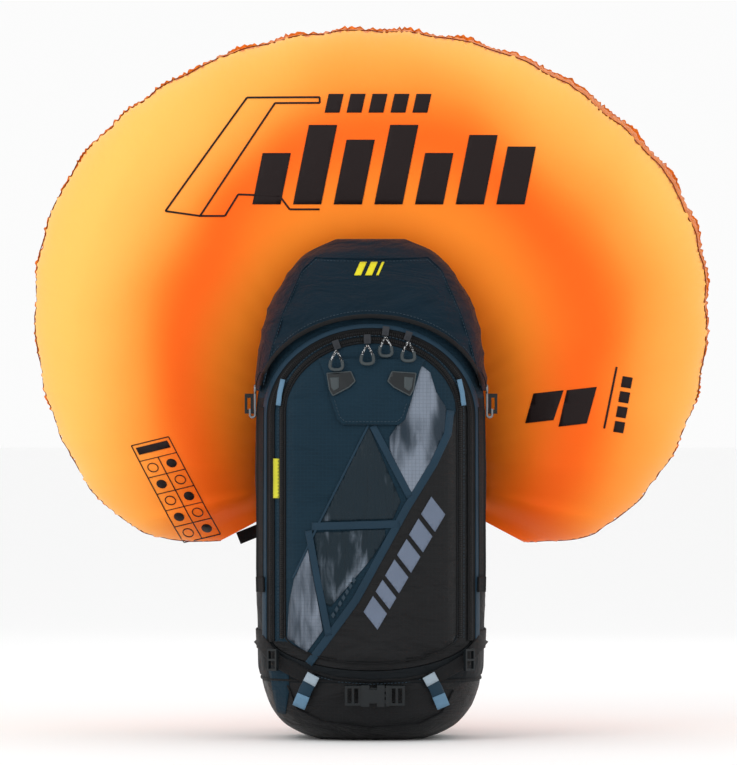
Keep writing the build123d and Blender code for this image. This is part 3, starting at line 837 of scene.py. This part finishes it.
def sew_pocket_front():
    half = POCKET["half"] - 1.5
    right = [(half, 384 - 8 * k) for k in range(33)]
    foot = [(x, arch_foot(POCKET, x) + 1.5) for x in (half - 6 * k for k in range(1, 29))]
    black = in_pocket([(101, 392)], 1.5) + right + foot + [p for p in reversed(BLACK_CUT) if p[1] < 392]
    black = [p for p in black if p[0] > -76 or p[1] > 96]
    drape("pocket_black_half", black, "black", "front_door", 0.5, surface=pocket_y)
    for name, outline in SHINE.items():
        # The right and corner panels carry painted highlights, and the others get the darker painted-shade
        # copy.
        cloth = "ripstop_painted_highlight" if name in ("shine_right", "shine_corner") else "ripstop_painted_shade"
        drape(name, in_pocket(outline), cloth, "front_door", 0.75, surface=pocket_y)
    bands = (
        ("diagonal", [(94, 392)] + BLACK_CUT[1:], 9, 1.0),
        ("kite", [(-3, 375), (-60, 262), (-92, 194)], 2, 1.1),
        ("cross", [(-70, 255), (34, 258)], 9, 1.2),
        ("low", [(-74, 250), (-63, 190), (-50, 126)], 8, 1.3),
        ("upper", [(2, 374), (46, 290)], 8, 1.1),
    )
    for name, line, width, grow in bands:
        ribbon(f"band_{name}", smooth_line(line), "band", "front_door", width, grow, surface=pocket_y)
    along = Vector((70, 119)).normalized()
    start = Vector((40, 212.5)) - along * 80
    for k, (gap, length) in enumerate(((0, 22), (28, 16), (50, 22), (78, 22), (106, 22), (134, 24))):
        a, b = start + along * gap, start + along * (gap + length)
        drape(f"slate_bar_{k}", slanted_bar(a, b, 25, 5), "bars", "front_door", 1.3, surface=pocket_y)
    for k in range(7):
        a = Vector((-46, 148)) + along * (8 * k)
        dash = slanted_bar(a, a + along * 5, 4, 1)
        drape(f"small_dash_{k}", dash, "thread", "front_door", 1.9, step=3, surface=pocket_y)
    tab = [(-116, 288), (-109, 288), (-109, 335), (-116, 335)]
    tab = drape("yellow_tab_cloth", tab, "yellow", "front_door", 1.6, step=3)
    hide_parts("yellow_tab")


def slanted_bar(a, b, tall, lean):
    """Parallelogram along a to b, with that height across it."""
    along = (b - a).normalized()
    up = Vector((-along.y, along.x)) * tall / 2
    slip = along * lean
    return [tuple(p) for p in (a - up - slip, b - up - slip, b + up + slip, a + up + slip)]


def smooth_line(points, step=5.0):
    """The same corners with points between them."""
    line = []
    for (ax, az), (bx, bz) in zip(points, points[1:]):
        count = max(1, round(math.hypot(bx - ax, bz - az) / step))
        line += [(ax + (bx - ax) * k / count, az + (bz - az) * k / count) for k in range(count)]
    return line + [points[-1]]


def flap_y(x, z, grow=0.0):
    return pocket_y(x, z, 2.0 + grow)


def sew_tool_flap():
    shape = [(-62, 456), (-57, 440), (-46, 399), (-40, 381), (-33, 375)]
    shape += [(33, 375), (40, 381), (46, 399), (58, 440), (64, 456)]
    shape = in_pocket(shape, 3)
    flap = drape("tool_flap_cloth", shape, "blue", None, 0.4, step=4, thick=1.3, surface=flap_y)
    top = min(-0.118, flap_y(0, 438) * MM)
    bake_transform(flap)
    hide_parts("tool_flap")
    hem = [(x * 0.93, z + 4) for x, z in smooth_line(shape[2:8])]
    lower = [(x, z) for x, z in hem if z < 428]
    stitches("tool_flap_stitch", lower, "tool_flap", 1.2, surface=flap_y)
    plate = [(-52, 436), (-24, 438), (-19, 427), (-26, 420), (-45, 410), (-49, 417)]
    hollow = [(-35, 434), (-26, 434), (-23, 428), (-28, 422), (-36, 419)]
    insert = [(-49, 431), (-38, 432), (-38, 419), (-44, 415), (-47, 419)]
    layers = (("", "buckle", 2.6, 2.2), ("_slot", "tape", 2.9, 0.6), ("_insert", "grey", 3.8, 1.2))
    for word, side, shift in (("left", 1, 0), ("right", -1, 1)):
        shapes = []
        for shape in (plate, hollow, insert):
            line = smooth_line(shape + shape[:1], 2)[:-1]
            shapes.append([(x * side + shift, z) for x, z in line])
        for shape, (end, mat, grow, thick) in zip(shapes, layers):
            name = f"{word}_tool_holder{end}"
            made = drape(name, shape, mat, "tool_flap", grow, step=3, thick=thick, surface=flap_y)
            if word == "left" and not end:
                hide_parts("flap_hooks")
        rim = on_front(shapes[0] + shapes[0][:1], 3.0, flap_y)
        tube(f"{word}_tool_holder_rim", rim, 0.9, "grey", "tool_flap")


def lid_y(x, z, grow=0.0):
    return front_y(x, z, grow, LID, 1.3)


def lid_cut(x):
    return max(LID_FOOT, arch_top(LID_ARCH, x))


def lid_fold(p):
    """Soft diagonal folds, stronger towards the lid's corners and its lower sides."""
    slant = p.z * 0.8 - abs(p.x) * 0.6
    ridge = (1 - abs(noise.noise(Vector((p.x / 130, 3, slant / 24))))) ** 3
    share = min(1.0, max(0.0, abs(p.x) - 40) / 60) * min(1.0, max(0.0, 590 - p.z) / 40)
    return (2.4 * ridge - 1.2) * (0.25 + 0.75 * share)


def sew_lid():
    rows, columns = 90, 150
    points = []
    for r in range(rows):
        z = LID_LOW + (LID_TOP - LID_LOW) * r / (rows - 1)
        _, _, middle, back = at_height(LID, z)
        rear = math.asin(max(0.0, (LID_REAR - middle) / (back - middle)) ** 2.5)
        for c in range(columns):
            turn = rear - (math.pi + 2 * rear) * c / (columns - 1)
            p = ring_point(LID, z, turn, amount=1.3)
            points.append(p + Vector((p.x, p.y, 0)).normalized() * lid_fold(p))
    top = points[-columns:]
    steps = 8
    for k in range(1, steps + 1):
        share = k / steps
        z = LID_TOP + 2.2 * math.sin(share * math.pi / 2)
        points += [Vector((p.x * (1 - 0.15 * share), p.y + (LID_REAR - p.y) * share, z)) for p in top]
    faces = grid_faces(rows + steps, columns)
    rim = [(x, lid_cut(x)) for x in [k * 1.5 for k in range(-89, 90)]]

    def drop(p):
        return p[2] < (lid_cut(p[0]) if p[1] < -20 else LID_FOOT)

    faces = cut_and_snap(points, faces, drop, rim, lid_y)
    for i, p in enumerate(points):
        if p[1] >= -20 and p[2] < LID_FOOT:
            points[i] = Vector((p[0], p[1], LID_FOOT))
    shell = piece("lid_shell", points, faces, "lid", "lid", thick=2.0)
    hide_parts("lid")
    edge = [(x, lid_cut(x) + 1.5) for x in [k * 4 for k in range(-33, 34)]]
    binding = [(x, z - 0.5) for x, z in edge]
    ribbon("lid_binding", binding, "webbing", "lid", 3.6, 0.6, thick=1.8, surface=lid_y, crown=0.9)
    stitches("lid_stitch", [(x, z + 6) for x, z in edge], "lid", 0.4, surface=lid_y)
    seams = {
        "lid_seam_front": [(-66, 575), (-40, 573.5), (0, 573), (40, 573.5), (68, 575)],
        "lid_seam_left": [(-66, 575), (-82, 560), (-104, 510), (-117, 470), (-128, 425)],
        "lid_seam_right": [(68, 575), (84, 560), (106, 510), (119, 470), (130, 425)],
    }
    for name, line in seams.items():
        tube(name, on_front(smooth_line(line, 8), 0.5, lid_y), 1.1, "lid", "lid")
        stitches(name + "_stitch", smooth_line([(x, z - 3.2) for x, z in line], 8), "lid", 0.5, surface=lid_y)
    for k, (x, wide) in enumerate(((-20, 8), (-7, 8), (6, 3))):
        bar = [(x, 553), (x + wide, 553), (x + wide + 7, 569), (x + 7, 569)]
        drape(f"yellow_mark_{k}", bar, "mark", "lid", 0.7, step=4, surface=lid_y)


# ---------------------------------------------------------------- straps and small fittings
def side_run(side, y0, y1, z, width, grow=2.2):
    """Strip round the side of the bag between two depths."""
    points = []
    steps = 24
    for k in range(steps + 1):
        y = y0 + (y1 - y0) * k / steps
        for s in (-1, 0, 1):
            zz = z + s * width / 2
            half, front, middle, back = at_height(BAG, zz)
            reach = back - middle if y > middle else middle - front
            power = BACK_POWER if y > middle else FRONT_POWER
            share = min(0.999, abs(y - middle) / reach)
            x = (half + grow) * (1 - share**power) ** (1 / power)
            points.append((side * x, y, zz))
    return points, grid_faces(steps + 1, 3)


def fit_straps():
    first = None
    for side, word in SIDES:
        points, faces = side_run(side, -72, 86, 119, 22)
        strap = piece(f"{word}_compression_strap", points, faces, "webbing", "bag", thick=1.4)
        first = first or strap
        slant = ((134, 120), (122, 106), (113, 96), (100, 88), (84, 80), (70, 74))
        slant = smooth_line([(side * x, z) for x, z in slant], 4)
        ribbon(f"{word}_compression_web", slant, "webbing", "bag", 15, 2.2, thick=1.5)
        tail = ((131.5, 396), (132, 300), (132.5, 206), (132, 178))
        tail = smooth_line([(side * x, z) for x, z in tail], 6)
        ribbon(f"{word}_side_strap", tail, "webbing", "bag", 9, 2.4, thick=1.5, surface=side_front)
        fold = smooth_line([(side * 132.4, 194), (side * 132, 176)], 3)
        ribbon(f"{word}_side_strap_fold", fold, "webbing", "bag", 9.5, 4.4, thick=2.2, surface=side_front)
        loop = smooth_line([(side * 110, 398), (side * 108, 414), (side * 104.5, 429)], 4)
        ribbon(f"{word}_gear_loop", loop, "loops", "front_door", 5, 4.6, thick=1.4, crown=1.2)
        low = smooth_line([(side * 68, 79), (side * 77, 62), (side * 86, 40)], 4)
        axe = ribbon(f"{word}_axe_loop", low, "band", "bag", 15, 4.6, thick=1.4, crown=1.5)
        ribbon(f"{word}_axe_loop_top", low[:4], "silver_loops", "bag", 15.4, 6.2, thick=0.8, crown=1.5)
        ribbon(f"{word}_axe_loop_foot", low[-5:], "loops", "bag", 15.4, 6.0, thick=0.8, crown=1.5)
        if side > 0:
            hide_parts("tool_loops")
    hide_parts("side_webbing")


def side_front(x, z, grow=0.0):
    """Front surface, but kept off the sheer sides."""
    half = at_height(BAG, z)[0]
    return front_y(math.copysign(min(abs(x), half - 2.5), x), z, grow)


def finish_base():
    seam = smooth_line([(-98, 96), (-75, 84), (-40, 75), (0, 72), (40, 74), (78, 81), (100, 92)], 6)
    tube("front_base_seam", on_front(seam, 1.4), 1.5, "webbing", "bag")
    tongue = smooth_line([(-99, 66), (-88, 38), (-58, 23), (0, 15), (58, 20), (84, 33), (98, 60)], 5)
    tube("base_tongue_seam", on_front(tongue, 0.8), 1.3, "webbing", "bag")
    drape("base_corner_patch", [(-122, 84), (-98, 84), (-97, 60), (-102, 30), (-112, 32)], "blue", "bag", 0.6)
    stitches("base_stitch", [(x, z - 4) for x, z in seam], "bag", 1.0)


def finish_hooks():
    for side, word in SIDES:
        tab = [Vector((side * x, -72, z)) for x, z in ((132, 438), (135, 432), (137, 425), (138, 419))]
        points = [p + Vector((0, s * 5 - 1, 0)) for p in tab for s in (-1, 1)]
        piece(f"{word}_hook_tab", points, grid_faces(4, 2), "webbing", "lid", thick=1.2)


# ---------------------------------------------------------------- airbag
def fan_reach(angle):
    """Distances from the fan's centre to the notch and to the outer edge, along one fan direction."""
    u, w = math.sin(math.radians(angle)), math.cos(math.radians(angle))

    def inside_outer(r):
        x, z = abs(r * u), FAN_Z + r * w
        if z >= OUTER["z"]:
            return (x / OUTER["half"]) ** 2 + ((z - OUTER["z"]) / OUTER["rise"]) ** 2 < 1
        drop = ((OUTER["z"] - z) / OUTER["lobe_drop"]) ** 2
        if x < OUTER["lobe_x"]:
            return drop < 1
        return ((x - OUTER["lobe_x"]) / OUTER["lobe_half"]) ** 2 + drop < 1

    def inside_notch(r):
        x, z = abs(r * u), FAN_Z + r * w
        if z <= NOTCH["z"]:
            return x < NOTCH["half"]
        return (x / NOTCH["half"]) ** 2 + ((z - NOTCH["z"]) / NOTCH["rise"]) ** 2 < 1

    reach = []
    for test in (inside_notch, inside_outer):
        low, high = 0.0, 900.0
        while high - low > 0.05:
            middle = (low + high) / 2
            low, high = (middle, high) if test(middle) else (low, middle)
        reach.append(low)
    return reach


def fan_value(angle, column):
    angle = abs(angle)
    for low, high in zip(FAN, FAN[1:]):
        if angle <= high[0]:
            share = (angle - low[0]) / (high[0] - low[0])
            share = share * share * (3 - 2 * share) if angle > 90 else share
            return low[column] + share * (high[column] - low[column])
    return FAN[-1][column]


def seam_turn(angle):
    """How far in front of the rim the front panel's seam runs, widest at the upper right."""
    return 0.035 + 0.27 * math.exp(-(((angle - 42) / 40) ** 2)) + 0.11 * math.exp(-(((angle + 22) / 26) ** 2))


def blow_airbag():
    """The pillow's skin, ring by ring from one lobe to the other, with pleats along its front seam."""
    rows, sides, band = 720, 124, 6
    end = FAN[-1][0]
    points, rim, seam, pleated = [], [], [], set()
    travelled, last = 0.0, None
    for r in range(rows):
        angle = end * (2 * r / (rows - 1) - 1)
        near, far = fan_reach(angle)
        u, w = math.sin(math.radians(angle)), math.cos(math.radians(angle))
        far += 3
        across, deep = (far - near) / 2 - 2, fan_value(angle, 1) - 3
        middle, depth = (near + far) / 2, fan_value(angle, 2)
        edge = Vector(((middle + across) * u, depth, FAN_Z + (middle + across) * w))
        travelled += (edge - last).length if last else 0.0
        last = edge
        drift = noise.noise(Vector((travelled / 55, 0, 0)))
        pleat = 0.6 * math.sin(math.tau * travelled / 13 + 9 * drift)
        pleat += 0.7 * math.sin(math.tau * travelled / 8.2 + 14 * drift)
        pull = math.sin(math.tau * travelled / 74 + 3 * noise.noise(Vector((travelled / 140, 4, 0))))
        front = seam_turn(angle)
        for s in range(sides):
            step = min(s, sides - s)
            if step <= band:
                turn = front * step / band
            else:
                turn = front + (math.pi - front) * (step - band) / (sides / 2 - band)
            turn *= 1 if s <= sides / 2 else -1
            c, q = math.cos(turn), math.sin(turn)
            outward = middle + across * c
            y = depth + deep * math.copysign(abs(q) ** 0.9, q)
            p = Vector((outward * u, y, FAN_Z + outward * w))
            away = Vector((c * u / across, q / deep, c * w / across)).normalized()
            from_seam = max(0.0, abs(turn) - front) * deep
            from_inner = (math.pi - abs(turn)) * deep
            gather = 0.95 * math.exp(-from_seam / 10) + 0.4 * math.exp(-from_seam / 40)
            slack = 1.3 * math.exp(-from_seam / 70) * pull + 1.2 * math.exp(-from_inner / 90) * pull
            swell = 4.0 * noise.noise(p / 170) + 0.8 * noise.noise(p / 50)
            p += away * (gather * (pleat - 0.7) + slack + swell)
            if step <= band:
                pleated.add(len(points))
            points.append(p)
            if s == 0:
                rim.append((p.copy(), Vector((u, 0, w)), angle))
        seam.append(points[r * sides + sides - band] + Vector((0.5 * u, -0.9, 0.5 * w)))
    faces = grid_faces(rows, sides, closed=True)
    marks = [all(i in pleated for i in f) for f in faces]
    faces += [tuple(range(sides)), tuple(reversed(range((rows - 1) * sides, rows * sides)))]
    bag = piece("airbag_pillow", points, faces, "airbag", "bag")
    bag.data.materials.append(MATS["ruffle"])
    for poly, mark in zip(bag.data.polygons, marks):
        poly.material_index = int(mark)
    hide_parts("airbag")
    tube("airbag_seam", seam[::4], 0.7, "pale_thread", "bag")
    ruffle("airbag_seam_ruffle", rim, 4.2, 9.0)
    return BVHTree.FromPolygons(points, faces)


def ruffle(name, seam, wide, pitch):
    """Gathered seam allowance that stands out from the pillow's rim."""
    fine = []
    for (a, da, ta), (b, db, tb) in zip(seam, seam[1:]):
        fine += [(a, da, ta), (a.lerp(b, 0.5), da.lerp(db, 0.5), (ta + tb) / 2)]
    fine.append(seam[-1])
    points, run = [], 0.0
    for i, (p, out, angle) in enumerate(fine):
        run += (p - fine[i - 1][0]).length if i else 0.0
        wander = noise.noise(Vector((run / 38, 7, 0)))
        wave = math.sin(math.tau * run / pitch + 9 * wander)
        fade = 0.12 + 0.88 * max(0.0, math.cos(math.radians(angle) * 0.85)) ** 0.6
        reach = wide * fade * max(0.1, 0.45 + 1.1 * wander + 0.2 * wave)
        for share in (-0.6, 0.0, 0.4, 0.75, 1.0):
            points.append(p + out * reach * share + Vector((0, wave * 2.0 * max(0, share) ** 0.7, 0)))
    edge = piece(name, points, grid_faces(len(fine), 5), "ruffle", "bag")
    add_wall(edge, 0.9)


def print_airbag(tree):
    def surface(x, z, grow=0.0):
        hit = tree.ray_cast(Vector((x, -700, z)), Vector((0, 1, 0)))
        return (hit[0].y if hit[0] else 150) - grow

    def ink(name, outline, step=7.0):
        drape(name, outline, "ink", "bag", 0.7, step=step, thick=0.4, surface=surface)

    def inked_line(name, line, width, step=7.0):
        ink(name, stroke(smooth_line(line, 8), width), step)

    for k, tall in enumerate((62, 96, 78, 96, 62, 84, 70)):
        x, lean = -143 + 49 * k, tall * 0.2
        ink(f"print_bar_{k}", [(x, 640), (x + 34, 640), (x + 34 + lean, 640 + tall), (x + lean, 640 + tall)])
    for k in range(5):
        x = -56 + 26.5 * k
        ink(f"print_small_{k}", [(x, 751), (x + 18, 751), (x + 23, 774), (x + 5, 774)])
    frames = (
        [(-150, 770), (-62, 770), (-62, 763), (-116, 763), (-206, 626), (-248, 632), (-150, 770)],
        [(-206, 626), (-176, 626), (-160, 652), (-110, 650), (-98, 634), (-62, 634)],
    )
    for k, line in enumerate(frames):
        for j, ends in enumerate(zip(line, line[1:])):
            inked_line(f"print_frame_{k}_{j}", ends, 2.2, step=9)
    for k, (x, z, wide, tall) in enumerate(((186, 398, 34, 40), (226, 394, 34, 48))):
        top = z - 22 + tall
        ink(f"print_block_{k}", [(x, z - 22), (x + wide, z - 18), (x + wide + 12, top), (x + 10, top - 4)])
    inked_line("print_line", [(281, 370), (296, 444)], 2.4)
    for k in range(4):
        x, z = 292 + 3 * k, 366 + 18 * k
        ink(f"print_side_{k}", [(x, z), (x + 12, z - 2), (x + 14.5, z + 11), (x + 2.5, z + 13)])
    print_label(ink, inked_line)


def print_label(ink, inked_line):
    """A slanting panel with rules, and a row of rings and spots between them."""
    corner, across, down = Vector((-289, 349)), Vector((45, 11)), Vector((61, -119))

    def place(a, b):
        return tuple(corner + across * a + down * b)

    edges = (((0, 0), (1, 0)), ((1, 0), (1, 1)), ((1, 1), (0, 1)), ((0, 1), (0, 0)), ((0.5, 0.16), (0.5, 1)))
    for k, (a, b) in enumerate(edges):
        inked_line(f"label_edge_{k}", [place(*a), place(*b)], 1.2)
    ink("label_head", [place(0.08, 0.03), place(0.92, 0.03), place(0.92, 0.1), place(0.08, 0.1)], step=6)
    turns = [math.tau * k / 14 for k in range(15)]
    for r in range(5):
        b = 0.16 + 0.168 * r
        inked_line(f"label_rule_{r}", [place(0, b), place(1, b)], 0.9)
        for c in range(2):
            middle = 0.25 + 0.5 * c
            ring = [place(middle + 0.13 * math.cos(t), b + 0.084 + 0.042 * math.sin(t)) for t in turns]
            if (r + c) % 2:
                ink(f"label_spot_{r}_{c}", ring[:-1], step=6)
            else:
                ink(f"label_ring_{r}_{c}", stroke(ring, 1.1), step=6)


def gather_neck():
    """The sleeve between the bag's mouth and the pillow, in soft pleats."""
    points = []
    rows, sides = 26, 120
    for r in range(rows):
        share = r / (rows - 1)
        z = 474 + 78 * share
        for s in range(sides):
            turn = math.tau * s / sides
            pleat = 1 + 0.035 * math.sin(14 * turn + 2 * share)
            a, b = (78 - 30 * share) * pleat, (24 + 2 * share) * pleat
            points.append((a * math.cos(turn), 62 + 6 * share + b * math.sin(turn), z))
    sleeve = piece("airbag_sleeve", points, grid_faces(rows, sides, closed=True), "airbag", "bag", thick=0.8)
    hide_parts("airbag_neck")


# ---------------------------------------------------------------- harness
def swollen(name, source, mat, body, cap, voxel, shrink=0.8):
    """A padded piece from a CAD solid, blown up a little by a cloth run."""
    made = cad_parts[source].copy()
    made.data = made.data.copy()
    made.name = name
    made.parent = None
    made.matrix_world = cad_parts[source].matrix_world.copy()
    bpy.context.scene.collection.objects.link(made)
    made.data.transform(made.matrix_world)
    made.matrix_world = Matrix.Identity(4)
    made.hide_render = made.hide_viewport = False
    made.hide_set(False)
    weld = bmesh.new()
    weld.from_mesh(made.data)
    bmesh.ops.remove_doubles(weld, verts=weld.verts, dist=WELD)
    weld.to_mesh(made.data)
    weld.free()
    remesh = made.modifiers.new("remesh", "REMESH")
    remesh.mode, remesh.voxel_size = "VOXEL", voxel * MM
    apply_modifiers(made)
    inset(made.data, shrink)
    start = [v.co.copy() for v in made.data.vertices]
    cloth = made.modifiers.new("cloth", "CLOTH")
    cloth.settings.use_pressure = True
    cloth.settings.uniform_pressure_force = 4
    cloth.settings.effector_weights.gravity = 0
    scene = bpy.context.scene
    for f in range(1, 21):
        scene.frame_set(f)
    apply_modifiers(made)
    scene.frame_set(1)
    for v, p in zip(made.data.vertices, start):
        move = v.co - p
        if move.length > cap * MM:
            v.co = p + move.normalized() * cap * MM
    made.data.materials.clear()
    made.data.materials.append(MATS[mat])
    for poly in made.data.polygons:
        poly.use_smooth = True
    finer = made.modifiers.new("finer", "SUBSURF")
    finer.levels = finer.render_levels = 1
    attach(made, body)
    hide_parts(source)


def apply_modifiers(made):
    graph = bpy.context.evaluated_depsgraph_get()
    mesh = bpy.data.meshes.new_from_object(made.evaluated_get(graph))
    made.modifiers.clear()
    made.data = mesh


def inset(mesh, distance):
    moved = [v.co - v.normal * distance * MM for v in mesh.vertices]
    for v, p in zip(mesh.vertices, moved):
        v.co = p


def hem_wings():
    """The cloth that joins each hip wing to the lumbar pad."""
    for side, word in SIDES:
        line = [(90, 107.5), (98, 108.5), (104, 110.5), (108, 113.5), (111, 117.5), (113, 123), (114, 130)]
        points = [Vector((side * x, y - 1.5, z)) for x, y in line for z in (70, 80, 90, 100, 110, 120, 126)]
        hem = piece(f"{word}_wing_hinge_cloth", points, grid_faces(7, 7), "webbing", None, thick=1.0)
        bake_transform(hem)


def pad_harness():
    swollen("back_padding", "back_pads", "mesh_pad", "bag", cap=4, voxel=5)
    for side in ("left", "right"):
        strap, wing = f"{side}_shoulder_strap", f"{side}_hip_wing"
        swollen(f"{side}_strap_padding", strap, "mesh_pad", "bag", cap=3.5, voxel=4)
        swollen(f"{side}_hip_padding", wing, "mesh_pad", wing, cap=3.5, voxel=4)


# ---------------------------------------------------------------- zip pulls
def make_pulls():
    for name in ("inner_left_pull", "inner_right_pull", "outer_left_pull", "outer_right_pull"):
        low, high = (Vector(corner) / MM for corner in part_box(name))
        x, top = (low.x + high.x) / 2, high.z
        eye, foot = Vector((x, high.y - 1.0, top - 1)), Vector((x, low.y + 2.4, low.z + 3.5))
        neck = eye.lerp(foot, 0.3)
        side = Vector((1, 0, 0))
        bend = foot.lerp(neck, 0.5)
        route = [foot - side * 7, bend - side * 6.4, neck - side * 2.8, eye]
        route += [neck + side * 2.8, bend + side * 6.4, foot + side * 7]
        loop = tube(f"{name}_loop", route, 1.25, "cord", name)
        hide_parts(name)
        corners = ((-6.5, 6), (-8, 0), (-6, -4), (0, -5), (6, -4), (8, 0), (6.5, 6))
        tube(f"{name}_grip", [foot + Vector((a, b * -0.3, b)) for a, b in corners], 2.0, "grey", name)


# ---------------------------------------------------------------- the frame's own pieces
KEPT = {
    "buckle": ("side_hardware", "base_buckle_socket", "base_buckle_prongs", "strap_locks", "sternum_buckle",
               "hip_buckle_prongs", "hip_buckle_socket", "cartridge_cradle", "trigger_socket"),
    "gas": ("argon_cartridge",),
    "hook": ("left_lid_hook", "right_lid_hook"),
    "manifold": ("inflator_manifold", "inlet_duct"),
    "orange_grip": ("trigger_handle",),
    "red": ("deflate_button",),
    "rubber": ("check_valve_flap", "trigger_cable"),
    "slider": ("inner_left_pull_slider", "inner_right_pull_slider", "outer_left_pull_slider",
               "outer_right_pull_slider"),
    "steel": ("co2_cartridge", "argon_piercing_pin", "co2_piercing_pin", "frame_stay"),
    "webbing": ("strap_webbing", "haul_loop", "sternum_webbing", "left_hip_webbing", "right_hip_webbing",
                "airbag_anchors"),
}


def dress_frame():
    for mat, names in KEPT.items():
        for name in names:
            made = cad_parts[name]
            made.data.materials.clear()
            made.data.materials.append(MATS[mat])


sew_bag()
sew_divider()
sew_door()
sew_zips()
sew_pocket_front()
sew_tool_flap()
sew_lid()
fit_straps()
finish_base()
finish_hooks()
print_airbag(blow_airbag())
gather_neck()
hem_wings()
pad_harness()
make_pulls()
dress_frame()
